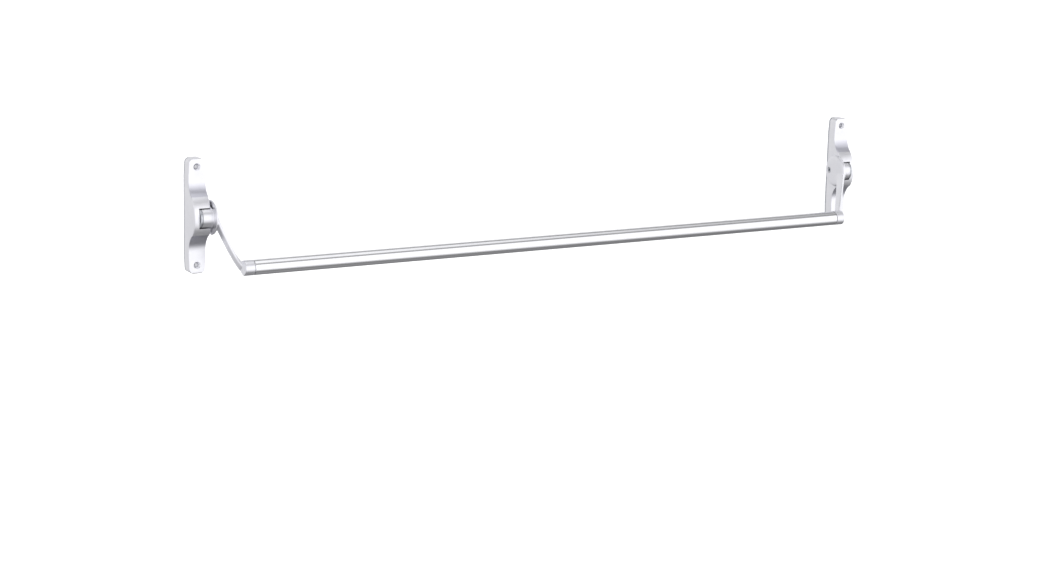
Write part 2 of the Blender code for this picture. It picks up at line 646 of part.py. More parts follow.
def make_lift_slide():
    """Upright bar that the cam finger lifts; a rod connector hooks into its lower slot."""
    slide = box("lift_slide", LOCK, (0, SLIDE_WIDTH), (SLIDE_BACK, SLIDE_FRONT), (SLIDE_LOW, SLIDE_TOP))
    foot = FINGER_HALF + GAP
    ledge = box("join_ledge", LOCK, (CAM_START, MM), (SLIDE_BACK + MM, LEDGE_FRONT),
                (foot, foot + LEDGE_HEIGHT))
    slot = box("cut_slot", LOCK, (SLIDE_SLOT_MARGIN, SLIDE_WIDTH - SLIDE_SLOT_MARGIN),
               (SLIDE_BACK - CUT_PAST, SLIDE_FRONT + CUT_PAST),
               (SLIDE_SLOT_HEIGHT - SLIDE_SLOT_HALF, SLIDE_SLOT_HEIGHT + SLIDE_SLOT_HALF))
    join(slide, ledge)
    cut(slide, slot)
    return finish(slide, "zinc_steel")


def make_slide_guide(label, ends):
    """Staple on the back plate that keeps the lift slide upright."""
    low, high = ends
    across = (-GAP - GUIDE_LEG, SLIDE_WIDTH + GAP + GUIDE_LEG)
    front = SLIDE_FRONT + GAP
    guide = box(f"slide_guide_{label}", LOCK, across, (HOUSING_BACK, front + GUIDE_LEG), (low, high))
    cut(guide, box("cut_guide", LOCK, (-GAP, SLIDE_WIDTH + GAP), (HOUSING_BACK - CUT_PAST, front),
                   (low - CUT_PAST, high + CUT_PAST)))
    return finish(guide, "zinc_steel")


def make_slide_spring(per_turn=10):
    """Compression spring between the lift slide's top and the upper pocket's end wall."""
    low = SLIDE_TOP + GAP + SLIDE_SPRING_WIRE
    high = POCKET_END - 2 * GAP - SLIDE_SPRING_WIRE
    steps = SLIDE_SPRING_TURNS * per_turn
    path = []
    for k in range(steps + 1):
        turn = 2 * math.pi * k / per_turn
        across = SLIDE_WIDTH / 2 + SLIDE_SPRING_RADIUS * math.cos(turn)
        deep = SLIDE_SPRING_DEPTH + SLIDE_SPRING_RADIUS * math.sin(turn)
        path.append(LOCK.at(across, deep, low + (high - low) * k / steps))
    return finish(wire("slide_spring", path, SLIDE_SPRING_WIRE, sides=4), "spring_steel")


# Assembly ---------------------------------------------------------------------------------

def make_side(side):
    make_housing(side)
    make_back_plate(side)
    make_plate_screw(side, 1, "upper")
    make_plate_screw(side, -1, "lower")
    make_shaft(side)
    for label, height, half_height in bumpers(side):
        make_bumper(side, label, height, half_height)
    make_lever_arm(side)
    make_bush(side, "outer", OUTER_BUSH)
    make_bush(side, "inner", INNER_BUSH)
    make_thrust_washer(side)
    make_torsion_spring(side)
    make_tube_screw(side, TUBE_SCREWS[0], "outer")
    make_tube_screw(side, TUBE_SCREWS[1], "inner")


clear_scene()
MADE_MATERIALS = {name: make_material(name) for name in MATERIALS}
make_side(HINGE)
make_side(LOCK)
make_crossbar()
make_cam(HINGE, "hinge_stop_collar")
make_cam(LOCK, "lock_drive_cam")
make_dogging_screw()
make_lift_slide()
make_slide_guide("upper", UPPER_GUIDE)
make_slide_guide("lower", LOWER_GUIDE)
make_slide_spring()
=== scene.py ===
"""Panic exit bar: the finished surfaces, light and camera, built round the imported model.

Each bracket is described by three local lengths, the same on both sides: u runs inward along
the bar from the bracket's middle, v stands out from the door, and w is the height from its
middle. Lengths are in metres.
"""
import json
import math

import bmesh
import bpy
from mathutils import Matrix, Vector

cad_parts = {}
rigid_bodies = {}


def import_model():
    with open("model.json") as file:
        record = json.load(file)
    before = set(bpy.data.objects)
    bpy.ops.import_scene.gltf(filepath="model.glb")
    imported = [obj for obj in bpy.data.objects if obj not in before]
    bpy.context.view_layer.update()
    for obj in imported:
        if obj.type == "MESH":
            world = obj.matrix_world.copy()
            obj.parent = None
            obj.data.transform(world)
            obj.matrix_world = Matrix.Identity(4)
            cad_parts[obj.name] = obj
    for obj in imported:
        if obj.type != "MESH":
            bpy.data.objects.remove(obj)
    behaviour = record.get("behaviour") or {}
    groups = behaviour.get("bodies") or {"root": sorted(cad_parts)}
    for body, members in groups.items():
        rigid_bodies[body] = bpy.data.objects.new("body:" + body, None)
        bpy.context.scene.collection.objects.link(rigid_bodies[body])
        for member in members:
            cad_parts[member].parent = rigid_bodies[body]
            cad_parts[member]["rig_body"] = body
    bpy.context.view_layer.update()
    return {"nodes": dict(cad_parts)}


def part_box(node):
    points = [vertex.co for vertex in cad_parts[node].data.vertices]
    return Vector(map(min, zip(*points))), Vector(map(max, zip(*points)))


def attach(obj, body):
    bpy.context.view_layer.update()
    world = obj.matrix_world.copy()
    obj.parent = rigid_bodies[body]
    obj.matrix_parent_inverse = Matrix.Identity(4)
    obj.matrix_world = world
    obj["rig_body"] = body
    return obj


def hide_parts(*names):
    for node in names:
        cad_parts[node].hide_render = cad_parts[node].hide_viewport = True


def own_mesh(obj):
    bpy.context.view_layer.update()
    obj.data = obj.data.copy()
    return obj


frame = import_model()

MM = 0.001
GAP = 0.3 * MM                      # clearance kept between neighbouring pieces
SLIVER = GAP / 4                    # a cutter's step past a face that it would share
ROOT_BODY, ARM_BODY = "bracket", "push_bar"


def node_middle(node):
    low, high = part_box(node)
    return (low + high) / 2


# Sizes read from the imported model
LOCK_LOW, LOCK_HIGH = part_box("lock_housing")
TUBE_LOW, TUBE_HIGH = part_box("crossbar_tube")
BRACKET_SPACING = -node_middle("hinge_housing").x
HALF_WIDTH = (LOCK_HIGH.x - LOCK_LOW.x) / 2
HALF_HEIGHT = (LOCK_HIGH.z - LOCK_LOW.z) / 2
HOUSING_BACK = -LOCK_HIGH.y
CROWN_DEPTH = -LOCK_LOW.y
PLATE_THICK = HOUSING_BACK - GAP
TUBE_RADIUS = (TUBE_HIGH.z - TUBE_LOW.z) / 2
BAR_DEPTH = -node_middle("crossbar_tube").y
BAR_HEIGHT = node_middle("crossbar_tube").z
PIVOT_DEPTH = -node_middle("lock_pivot_shaft").y

# Bracket housing
TOP_HALF_WIDTH = 12 * MM
TOP_CORNER = 7 * MM
TAPER_START = 58 * MM               # height from which the outline narrows
PAD_DEPTH = 18 * MM
PAD_EDGE = 1.5 * MM
PAD_ROUND = 1.1 * MM                # round of the long front edges, at the pads and the crown
CROWN_ROUND = 2.8 * MM
CROWN_RADIUS = 43.5 * MM
CROWN_MIDDLE = -1 * MM
CREASE_TOP = 30 * MM                # heights where the crown meets the concave sweeps
CREASE_BOTTOM = -25 * MM
FILLET_RADIUS = 28.5 * MM
WALL = 3.5 * MM
CHEEK = 5 * MM
POCKET_HALF_WIDTH = 9.5 * MM
POCKET_START = 19 * MM              # heights between which the housing is hollowed
POCKET_END = 44 * MM
CHAMBER_DEPTH = 15 * MM
BORE_RADIUS = 16.4 * MM
THROAT_DEPTH = PIVOT_DEPTH - 2 * WALL
SPRING_POCKET = 8 * MM
SPRING_POCKET_FLOOR = -10.5 * MM
SPRING_SWEEP = (-100, -58)          # degrees that the fixed leg needs in the cheek
BOSS_RADIUS = 5.6 * MM
SHAFT_RADIUS = 3.5 * MM
SHAFT_START = -10.2 * MM
MOUNT_HEIGHT = 70.5 * MM
MOUNT_HOLE = 3.2 * MM
MOUNT_SINK = 5.2 * MM
MOUNT_SINK_DEPTH = 2.4 * MM
PLATE_SCREW_HEIGHT = 56 * MM
PLATE_SCREW_HOLE = 2.3 * MM
PLATE_SCREW_DEPTH = 14.5 * MM
PLATE_SCREW_SINK = 4.3 * MM         # radius of the cone's mouth in the plate
BUMPER_MIDDLE = -2.5 * MM           # along the bar
BUMPER_STEM = 2.1 * MM
WINDOW = ((-2 * MM, 8 * MM), (-33 * MM, -18 * MM))  # for the rods, across and up

# Back plate
PLATE_EDGE = 0.25 * MM
PLATE_SCREW_LIP = 0.2 * MM          # straight wall above the screw's cone
PLATE_SCREW_CONE = 2.2 * MM         # depth at which the cone ends

# Lever arm
HUB_RADIUS = 15 * MM
HUB_START = -1.3 * MM
TENON_START = -3.6 * MM
TENON_RADIUS = 11 * MM
TENON_FLAT = 7.6 * MM
DISC_RADIUS = 25 * MM
DISC_START = 14.5 * MM
DISC_END = {"lock": 20.5 * MM, "hinge": 18.8 * MM}
DISC_BACK_EDGE = 1.2 * MM
DOME_RISE = 3.6 * MM                # how the disc's inner face falls away to its rim
DOME_RUN = 7 * MM
HUB_HOLE = 5 * MM
HUB_HOLE_END = 15.8 * MM
ELBOW_START = 41.3 * MM
ELBOW_END = 56 * MM
ELBOW_EDGE = 2 * MM
SPIGOT_END = 90 * MM
SPIGOT_CHAMFER = 1 * MM
TUBE_WALL = 1.6 * MM
TUBE_EDGE = 0.4 * MM
TUBE_SCREWS = (66 * MM, 81 * MM)
TUBE_SCREW_HOLE = 2.5 * MM
TUBE_SCREW_TOP = 4 * MM             # where the hole ends, below the bar's middle
DOG_DEPTH = 18 * MM                 # dogging screw's distance from the door
DOG_HOLE = 4.5 * MM
BLADE = (                           # u, v, w, half width, half thickness, lean and splay in degrees
    (16.8 * MM, 41.0 * MM, 5.0 * MM, 9.0 * MM, 1.9 * MM, 15, 5),
    (20.2 * MM, 49.0 * MM, -10.5 * MM, 8.6 * MM, 2.5 * MM, 14, 16),
    (28.9 * MM, 60.0 * MM, -35.5 * MM, 7.5 * MM, 2.4 * MM, 16, 20),
    (36.2 * MM, 68.6 * MM, -53.0 * MM, 6.9 * MM, 2.5 * MM, 22, 24),
    (42.2 * MM, 76.5 * MM, -63.5 * MM, 7.2 * MM, 3.2 * MM, 30, 28),
    (45.5 * MM, 81.0 * MM, -67.5 * MM, 6.8 * MM, 3.4 * MM, 35, 28),
)
BLADE_POWER = 0.5                   # shapes its sections: 1 is an ellipse, less is squarer
CASTING_VOXEL = 0.4 * MM
CASTING_RELAX = 0.5                 # share of the way each smoothing pass moves a point
CASTING_SMOOTHING = 8               # passes

# Springs
SPRING_RADIUS = 7 * MM
SPRING_WIRE = 0.6 * MM
SPRING_TURNS = 2.25
SPRING_LOW = -9.7 * MM
SPRING_HIGH = -5.9 * MM
SPRING_LEG_END = -1.4 * MM
SPRING_BEND = 1.2 * MM              # run between the coil and a straight leg
FIXED_LEG_REACH = 3.5 * MM          # past the pocket's wall
LEG_CLEARANCE = 0.4 * MM            # round the leg in the tenon
LEG_HOLE_PAST = 1 * MM              # beyond the leg's end
SLIDE_SPRING_WIRE = 0.45 * MM
SLIDE_SPRING_TURNS = 7

# Fineness of the meshes
FINE = 96                           # facets round a large turned shape
SMALL = 48                          # facets round a small one
WIRE_SIDES = 12
SPRING_STEPS = 48                   # points in each turn of a torsion spring
SLIDE_SPRING_STEPS = 40
CORNER_STEP = 6                     # degrees between sections in a housing's corner
SWEEP_SECTIONS = 24
CROWN_SECTIONS = 48
POCKET_STEPS = 16
PLATE_CORNER_STEPS = 14
EDGE_STEPS = 8                      # steps round a quarter-circle edge
DISC_EDGE_STEPS = 6
DOME_STEPS = 16
BLADE_CORNERS = 16                  # half the points in a section of the blade
BLADE_STEPS = 8                     # stations between two rows of its table
EDGE_ANGLE = 40                     # degrees; sharper edges are rounded
PIECE_EDGE_ANGLE = 50               # the same on the small pieces
CREASE_ANGLE = 32                   # degrees; sharper edges stay sharp in the shading
FLAT_ANGLE = 1                      # degrees; facets flatter than this are one face
WELD = 0.001 * MM                   # points closer than this are one
SAME_HEIGHT = 0.001 * MM            # sections closer than this are one
SLIM = 0.01 * MM                    # how far past a crease a point may lie and still count
EDGE_WIDTHS = {                     # round on the edges of the small pieces, by finish
    "zinc_steel": 0.25 * MM, "dark_steel": 0.2 * MM, "bronze": 0.15 * MM, "rubber": 0.6 * MM,
}

# Finishes: tones are linear colours, scales are per metre
BRUSHED = {
    "cast_aluminium": {
        "dark": (0.84, 0.84, 0.89), "light": (0.96, 0.96, 0.98), "rough": 0.36, "swing": 0.06,
        "stretch": (1.0, 1.0, 0.06), "line_scale": 1900.0, "line_depth": 0.010 * MM,
    },
    "bar_aluminium": {
        "dark": (0.88, 0.88, 0.92), "light": (0.97, 0.97, 0.98), "rough": 0.14, "swing": 0.04,
        "stretch": (0.02, 1.0, 1.0), "line_scale": 2200.0, "line_depth": 0.005 * MM,
    },
    "spring_steel": {
        "dark": (0.36, 0.37, 0.40), "light": (0.62, 0.63, 0.66), "rough": 0.30, "swing": 0.08,
        "stretch": (1.0, 1.0, 1.0), "line_scale": 2600.0, "line_depth": 0.015 * MM,
    },
}
HOLLOW_PAINTED_SHADE = (0.72, 0.72, 0.76)    # painted shade, multiplied onto the casting's colour deep in its concave sweeps
HOLLOW_START = 0.6                  # share of a concave sweep over which the painted shade grows
CLOUD_SCALE = 45.0                  # broad patches on the brushed metals
CLOUD_ROUGHNESS = 0.015
EDGE_SHARPNESS = (0.52, 0.62)       # pointiness where the edge wear and painted highlight start, and where they are full
ZINC_TONES = ((0.50, 0.52, 0.56), (0.72, 0.73, 0.75))
ZINC_ROUGH = (0.28, 0.46)
ZINC_CRYSTAL_SCALE = 520.0
ZINC_GRAIN_SCALE = 1500.0
OXIDE_TONES = ((0.045, 0.045, 0.052), (0.34, 0.33, 0.34))
OXIDE_ROUGH = (0.36, 0.52)
OXIDE_PATCH_SCALE = 260.0
OXIDE_GRAIN_SCALE = 2400.0
STEEL_GRAIN_DEPTH = 0.02 * MM
BRONZE_TONES = ((0.30, 0.17, 0.07), (0.74, 0.49, 0.25))
BRONZE_ROUGH = (0.30, 0.44)
BRONZE_CLOUD_SCALE = 120.0
PORE_SCALE = 3200.0
PORE_SIZE = (0.36, 0.50)            # noise below the first is pore, above the second is metal
PORE_DEPTH = 0.03 * MM
RUBBER_TONES = ((0.016, 0.016, 0.017), (0.060, 0.060, 0.064))
RUBBER_ROUGH = (0.60, 0.85)
RUBBER_SHINE = 0.35
RUBBER_BLOOM_SCALE = 180.0
RUBBER_GRAIN_SCALE = 2600.0
RUBBER_GRAIN_DEPTH = 0.05 * MM
FLOOR_TONES = ((0.90, 0.90, 0.90), (0.94, 0.94, 0.94))

# Camera, floor and light
CAMERA_PLACE = (-2.46086, -3.34473, 0.67820)
CAMERA_YAW = math.radians(29.479)       # from straight at the door towards the lock side
CAMERA_PITCH = math.radians(12.122)     # downward
CAMERA_ROLL = math.radians(1.4235)
CAMERA_LENS = 88.33                     # millimetres
SENSOR_WIDTH = 36.0                     # millimetres
CAMERA_REACH = 200.0                    # farthest distance drawn
FLOOR_HEIGHT = -0.75
FLOOR_REACH = 40.0
FLOOR_PATCH_SCALE = 0.8
FLOOR_ROUGH = 0.9
SKY = (                                 # upward share of a direction, brightness
    (-1.0, 0.40), (-0.90, 0.28), (-0.80, 0.19), (-0.70, 0.30), (-0.60, 0.60), (-0.45, 0.95),
    (0.0, 1.12), (0.45, 1.10), (0.62, 0.95), (0.69, 0.36), (0.76, 0.24), (0.82, 0.55),
    (0.88, 1.05), (1.0, 1.10),
)
SKY_FRONT_AND_BACK = (1.18, 0.74)       # factor on it before the door, and behind
SKY_LEFT = 0.82                         # factor on it at the far left
SKY_LEFT_SPAN = (-0.85, -0.35)          # where that factor is full, and where it ends
SKY_TINT = (0.985, 0.985, 1.0)
OVERHEAD_ENERGY = 2.2
OVERHEAD_ANGLE = math.radians(120)
OVERHEAD_TILT = (math.radians(12), math.radians(-10), 0)


class Side:
    """One bracket's own lengths u, v, w, and the way they sit in the model's frame."""

    def __init__(self, name, centre, inward):
        self.name = name
        self.centre = centre
        self.inward = inward
        self.disc_end = DISC_END[name]

    def at(self, u, v, w):
        return Vector((self.centre + self.inward * u, -v, w))


LOCK = Side("lock", 0.0, -1)
HINGE = Side("hinge", -BRACKET_SPACING, 1)


# Materials --------------------------------------------------------------------------------

def start_material(name):
    material = bpy.data.materials.new(name)
    material.use_nodes = True
    return material, material.node_tree, material.node_tree.nodes["Principled BSDF"]


def add_noise(tree, scale, stretch=(1, 1, 1), detail=4.0, roughness=0.55):
    """Noise in the piece's own space; a stretch below one draws it out along that axis."""
    place = tree.nodes.new("ShaderNodeTexCoord")
    mapping = tree.nodes.new("ShaderNodeMapping")
    mapping.inputs["Scale"].default_value = stretch
    noise = tree.nodes.new("ShaderNodeTexNoise")
    noise.inputs["Scale"].default_value = scale
    noise.inputs["Detail"].default_value = detail
    noise.inputs["Roughness"].default_value = roughness
    tree.links.new(place.outputs["Object"], mapping.inputs["Vector"])
    tree.links.new(mapping.outputs["Vector"], noise.inputs["Vector"])
    return noise.outputs["Fac"]


def remap(tree, value, low, high, start=0.3, end=0.7):
    """Turn a value between start and end into one between low and high."""
    change = tree.nodes.new("ShaderNodeMapRange")
    change.inputs["From Min"].default_value = start
    change.inputs["From Max"].default_value = end
    change.inputs["To Min"].default_value = low
    change.inputs["To Max"].default_value = high
    tree.links.new(value, change.inputs["Value"])
    return change.outputs["Result"]


def combine_values(tree, operation, first, second):
    result = tree.nodes.new("ShaderNodeMath")
    result.operation = operation
    tree.links.new(first, result.inputs[0])
    tree.links.new(second, result.inputs[1])
    return result.outputs["Value"]


def add_values(tree, first, second):
    return combine_values(tree, "ADD", first, second)


def mix_colours(tree, share, first, second):
    ramp = tree.nodes.new("ShaderNodeValToRGB")
    ramp.color_ramp.elements[0].color = (*first, 1)
    ramp.color_ramp.elements[1].color = (*second, 1)
    tree.links.new(share, ramp.inputs["Fac"])
    return ramp.outputs["Color"]


def add_bump(tree, shader, height, distance, strength=1.0):
    bump = tree.nodes.new("ShaderNodeBump")
    bump.inputs["Strength"].default_value = strength
    bump.inputs["Distance"].default_value = distance
    tree.links.new(height, bump.inputs["Height"])
    tree.links.new(bump.outputs["Normal"], shader.inputs["Normal"])


def edge_wear_and_highlight(tree, amount):
    """A share that rises along outward edges: wear where handling polishes the metal, and a painted
    highlight.
    """
    geometry = tree.nodes.new("ShaderNodeNewGeometry")
    return remap(tree, geometry.outputs["Pointiness"], 0.0, amount, *EDGE_SHARPNESS)


def brushed_metal(name, dark, light, rough, swing, stretch, line_scale, line_depth):
    """Metal with fine drawn lines, broad cloudy patches, and edges lightened by wear and a painted
    highlight.
    """
    material, tree, shader = start_material(name)
    shader.inputs["Metallic"].default_value = 1.0
    lines = add_noise(tree, line_scale, stretch, 6.0, 0.7)
    clouds = add_noise(tree, CLOUD_SCALE, detail=3.0)
    # lighter along the edges: wear, and a painted highlight
    shade = add_values(tree, remap(tree, clouds, 0.3, 0.7), edge_wear_and_highlight(tree, 0.3))
    tree.links.new(mix_colours(tree, shade, dark, light), shader.inputs["Base Color"])
    gloss = add_values(tree, remap(tree, lines, rough - swing, rough + swing),
                       remap(tree, clouds, CLOUD_ROUGHNESS, -CLOUD_ROUGHNESS))
    tree.links.new(gloss, shader.inputs["Roughness"])
    add_bump(tree, shader, lines, line_depth)
    return material


def cast_metal(name):
    """Satin casting, greyer down in its hollows, where shade is painted into its colour."""
    material = brushed_metal(name, **BRUSHED[name])
    tree = material.node_tree
    shader = tree.nodes["Principled BSDF"]
    hollow = tree.nodes.new("ShaderNodeAttribute")
    hollow.attribute_name = "hollow"
    # painted shade: the colour is multiplied darker in the concave sweeps
    painted_shade_mix = tree.nodes.new("ShaderNodeMix")
    painted_shade_mix.data_type = "RGBA"
    painted_shade_mix.blend_type = "MULTIPLY"
    painted_shade_mix.inputs["B"].default_value = (*HOLLOW_PAINTED_SHADE, 1)
    unshaded_tone = shader.inputs["Base Color"].links[0].from_socket
    tree.links.new(hollow.outputs["Fac"], painted_shade_mix.inputs["Factor"])
    tree.links.new(unshaded_tone, painted_shade_mix.inputs["A"])
    tree.links.new(painted_shade_mix.outputs["Result"], shader.inputs["Base Color"])
    return material


def plated_metal(name):
    """Zinc plate: small crystalline patches, each with its own shade and gloss."""
    material, tree, shader = start_material(name)
    shader.inputs["Metallic"].default_value = 1.0
    place = tree.nodes.new("ShaderNodeTexCoord")
    crystals = tree.nodes.new("ShaderNodeTexVoronoi")
    crystals.inputs["Scale"].default_value = ZINC_CRYSTAL_SCALE
    tree.links.new(place.outputs["Object"], crystals.inputs["Vector"])
    split = tree.nodes.new("ShaderNodeSeparateColor")
    tree.links.new(crystals.outputs["Color"], split.inputs["Color"])
    patch = split.outputs["Red"]
    # lighter along the edges: wear, and a painted highlight
    shade = add_values(tree, remap(tree, patch, 0.0, 0.6, 0, 1), edge_wear_and_highlight(tree, 0.4))
    tree.links.new(mix_colours(tree, shade, *ZINC_TONES), shader.inputs["Base Color"])
    tree.links.new(remap(tree, patch, *ZINC_ROUGH, 0, 1), shader.inputs["Roughness"])
    add_bump(tree, shader, add_noise(tree, ZINC_GRAIN_SCALE), STEEL_GRAIN_DEPTH)
    return material


def black_oxide(name):
    """Blackened steel, brown-black in patches and bare along worn edges."""
    material, tree, shader = start_material(name)
    shader.inputs["Metallic"].default_value = 1.0
    patches = add_noise(tree, OXIDE_PATCH_SCALE, detail=5.0)
    # lighter along the edges: bare worn metal, and a painted highlight
    shade = add_values(tree, remap(tree, patches, 0.0, 0.35), edge_wear_and_highlight(tree, 0.6))
    tree.links.new(mix_colours(tree, shade, *OXIDE_TONES), shader.inputs["Base Color"])
    tree.links.new(remap(tree, patches, *OXIDE_ROUGH), shader.inputs["Roughness"])
    add_bump(tree, shader, add_noise(tree, OXIDE_GRAIN_SCALE), STEEL_GRAIN_DEPTH)
    return material


def porous_bronze(name):
    """Sintered bronze: dark pinprick pores in a warm oiled metal."""
    material, tree, shader = start_material(name)
    shader.inputs["Metallic"].default_value = 1.0
    pores = remap(tree, add_noise(tree, PORE_SCALE, detail=2.0), 0.0, 1.0, *PORE_SIZE)
    tree.links.new(mix_colours(tree, pores, *BRONZE_TONES), shader.inputs["Base Color"])
    gloss = remap(tree, add_noise(tree, BRONZE_CLOUD_SCALE), *BRONZE_ROUGH)
    tree.links.new(gloss, shader.inputs["Roughness"])
    add_bump(tree, shader, pores, PORE_DEPTH)
    return material


def moulded_rubber(name):
    """Black rubber with a fine moulded grain and a grey bloom of dust."""
    material, tree, shader = start_material(name)
    bloom = remap(tree, add_noise(tree, RUBBER_BLOOM_SCALE), 0.0, 1.0)
    tree.links.new(mix_colours(tree, bloom, *RUBBER_TONES), shader.inputs["Base Color"])
    tree.links.new(remap(tree, bloom, *RUBBER_ROUGH, 0, 1), shader.inputs["Roughness"])
    shader.inputs["Specular IOR Level"].default_value = RUBBER_SHINE
    add_bump(tree, shader, add_noise(tree, RUBBER_GRAIN_SCALE), RUBBER_GRAIN_DEPTH)
    return material


def make_materials():
    return {
        "cast_aluminium": cast_metal("cast_aluminium"),
        "bar_aluminium": brushed_metal("bar_aluminium", **BRUSHED["bar_aluminium"]),
        "zinc_steel": plated_metal("zinc_steel"),
        "dark_steel": black_oxide("dark_steel"),
        "spring_steel": brushed_metal("spring_steel", **BRUSHED["spring_steel"]),
        "bronze": porous_bronze("bronze"),
        "rubber": moulded_rubber("rubber"),
    }


# Tools: each makes one closed mesh object -------------------------------------------------

def add_object(name, points, faces):
    shape = bmesh.new()
    corners = [shape.verts.new(point) for point in points]
    for face in faces:
        shape.faces.new([corners[index] for index in face])
    bmesh.ops.recalc_face_normals(shape, faces=shape.faces)
    mesh = bpy.data.meshes.new(name)
    shape.to_mesh(mesh)
    shape.free()
    made = bpy.data.objects.new(name, mesh)
    bpy.context.scene.collection.objects.link(made)
    return made


def loft(name, sections, closed=False):
    """Join rings of points, each with the same count, and cap the ends if it isn't a loop."""
    count = len(sections[0])
    points = [point for section in sections for point in section]
    faces = []
    rings = len(sections) if closed else len(sections) - 1
    for ring in range(rings):
        here = ring * count
        there = (ring + 1) % len(sections) * count
        for k in range(count):
            after = (k + 1) % count
            faces.append((here + k, here + after, there + after, there + k))
    if not closed:
        faces.append(tuple(range(count)))
        faces.append(tuple(len(points) - count + k for k in range(count)))
    return add_object(name, points, faces)


def prism(name, outline, low, high, place):
    """Extrude an outline of pairs between two levels; place(a, b, level) gives the point."""
    return loft(name, [[place(a, b, level) for a, b in outline] for level in (low, high)])


def block(name, side, u, v, w):
    corners = ((u[0], v[0]), (u[1], v[0]), (u[1], v[1]), (u[0], v[1]))
    return prism(name, corners, w[0], w[1], side.at)


def turned(name, side, profile, centre, along="u", facets=FINE, ring=False):
    """Turn a profile of (position, radius) pairs about a line parallel to u, v or w.

    centre holds the line's other two local lengths. A ring's profile is a closed loop.
    """
    def place(level, a, b):
        first, second = centre[0] + a, centre[1] + b
        if along == "u":
            return side.at(level, first, second)
        if along == "v":
            return side.at(first, level, second)
        return side.at(first, second, level)

    angles = [2 * math.pi * k / facets for k in range(facets)]
    sections = [[place(level, radius * math.cos(t), radius * math.sin(t)) for t in angles]
                for level, radius in profile]
    return loft(name, sections, closed=ring)


def wire(name, path, radius):
    """Sweep a round wire along world points, carrying its frame smoothly round the bends."""
    sections = []
    across = None
    angles = [2 * math.pi * k / WIRE_SIDES for k in range(WIRE_SIDES)]
    for index, point in enumerate(path):
        before = path[max(index - 1, 0)]
        after = path[min(index + 1, len(path) - 1)]
        along = (after - before).normalized()
        if across is None:
            across = along.orthogonal().normalized()
        across = (across - along * across.dot(along)).normalized()
        up = along.cross(across)
        sections.append([point + radius * (across * math.cos(t) + up * math.sin(t))
                         for t in angles])
    return loft(name, sections)


def combine(target, operation, *others):
    """Cut with, join or keep the overlap with helper shapes, and remove the helpers."""
    for other in others:
        change = target.modifiers.new(other.name, "BOOLEAN")
        change.operation = operation
        change.solver = "EXACT"
        change.object = other
    settle(target)
    for other in others:
        bpy.data.objects.remove(other)


def settle(target):
    """Make a piece's modifiers part of its mesh."""
    bpy.context.view_layer.update()
    seen = target.evaluated_get(bpy.context.evaluated_depsgraph_get())
    mesh = bpy.data.meshes.new_from_object(seen)
    target.modifiers.clear()
    target.data = mesh


def cut(target, *others):
    combine(target, "DIFFERENCE", *others)


def join(target, *others):
    combine(target, "UNION", *others)


def soften(target, width, angle=EDGE_ANGLE):
    """Break every sharp edge with a small round."""
    bevel = target.modifiers.new("edge_round", "BEVEL")
    bevel.limit_method = "ANGLE"
    bevel.angle_limit = math.radians(angle)
    bevel.width = width
    bevel.segments = 2
    settle(target)


def shade(target):
    target.data.shade_smooth()
    target.data.set_sharp_from_angle(angle=math.radians(CREASE_ANGLE))


def place_piece(piece, material, body, *nodes):
    """Give a piece its finish, the body that it moves with and the CAD nodes it stands for."""
    piece.data.materials.clear()
    piece.data.materials.append(MADE_MATERIALS[material])
    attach(piece, body)
    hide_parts(*nodes)
    return piece


def arc(centre, radius, start, end, steps):
    """Points (a, b) along a circle's arc, its ends included, angles in degrees."""
    angles = [math.radians(start + (end - start) * k / steps) for k in range(steps + 1)]
    return [(centre[0] + radius * math.cos(t), centre[1] + radius * math.sin(t))
            for t in angles]


def spread(start, end, steps):
    """Evenly spaced values from start up to, but not including, end."""
    return [start + (end - start) * k / steps for k in range(steps)]


# Bracket ----------------------------------------------------------------------------------

def crown_depth(height):
    reach = height - CROWN_MIDDLE
    return CROWN_DEPTH - CROWN_RADIUS + math.sqrt(CROWN_RADIUS ** 2 - reach ** 2)


def fillet_run(crease):
    """Height of the concave sweep between a crease and the flat pad beyond it."""
    rise = crown_depth(crease) - PAD_DEPTH
    return math.sqrt(FILLET_RADIUS ** 2 - (FILLET_RADIUS - rise) ** 2)


def front_depth(height):
    """Depth of the housing's front face at a height."""
    if CREASE_BOTTOM <= height <= CREASE_TOP:
        return crown_depth(height)
    crease = CREASE_TOP if height > 0 else CREASE_BOTTOM
    left = fillet_run(crease) - abs(height - crease)
    if left > 0:
        return PAD_DEPTH + FILLET_RADIUS - math.sqrt(FILLET_RADIUS ** 2 - left ** 2)
    past = abs(height) - (HALF_HEIGHT - PAD_EDGE)
    if past > 0:
        return PAD_DEPTH - PAD_EDGE + math.sqrt(max(PAD_EDGE ** 2 - past ** 2, 0))
    return PAD_DEPTH


def half_width_at(height):
    """Half the bracket's width at a height: straight, then narrowed, then a rounded corner."""
    beyond = abs(height) - (HALF_HEIGHT - TOP_CORNER)
    if beyond > 0:
        return TOP_HALF_WIDTH - TOP_CORNER + math.sqrt(max(TOP_CORNER ** 2 - beyond ** 2, 0))
    share = max(abs(height) - TAPER_START, 0) / (HALF_HEIGHT - TOP_CORNER - TAPER_START)
    return HALF_WIDTH + (TOP_HALF_WIDTH - HALF_WIDTH) * share


def edge_round(depth):
    """Round of the long front edges, which grows from the flat pads to the crown."""
    share = max(depth - PAD_DEPTH, 0) / (CROWN_DEPTH - PAD_DEPTH)
    return PAD_ROUND + (CROWN_ROUND - PAD_ROUND) * share


def mark_painted_shade(cover):
    """Store how deep each point lies in a concave sweep, as the mask for the painted shade there.
    """
    hollow = cover.data.attributes.new("hollow", "FLOAT", "POINT")
    for index, vertex in enumerate(cover.data.vertices):
        depth, height = -vertex.co.y, vertex.co.z
        crease = CREASE_TOP if height > 0 else CREASE_BOTTOM
        outward = abs(height) - abs(crease)
        left = fillet_run(crease) - outward
        on_front = depth > front_depth(height) - edge_round(front_depth(height)) / 2
        if on_front and outward > -SLIM and left > 0:
            share = min(left / fillet_run(crease) / HOLLOW_START, 1)
            hollow.data[index].value = share * share * (3 - 2 * share)


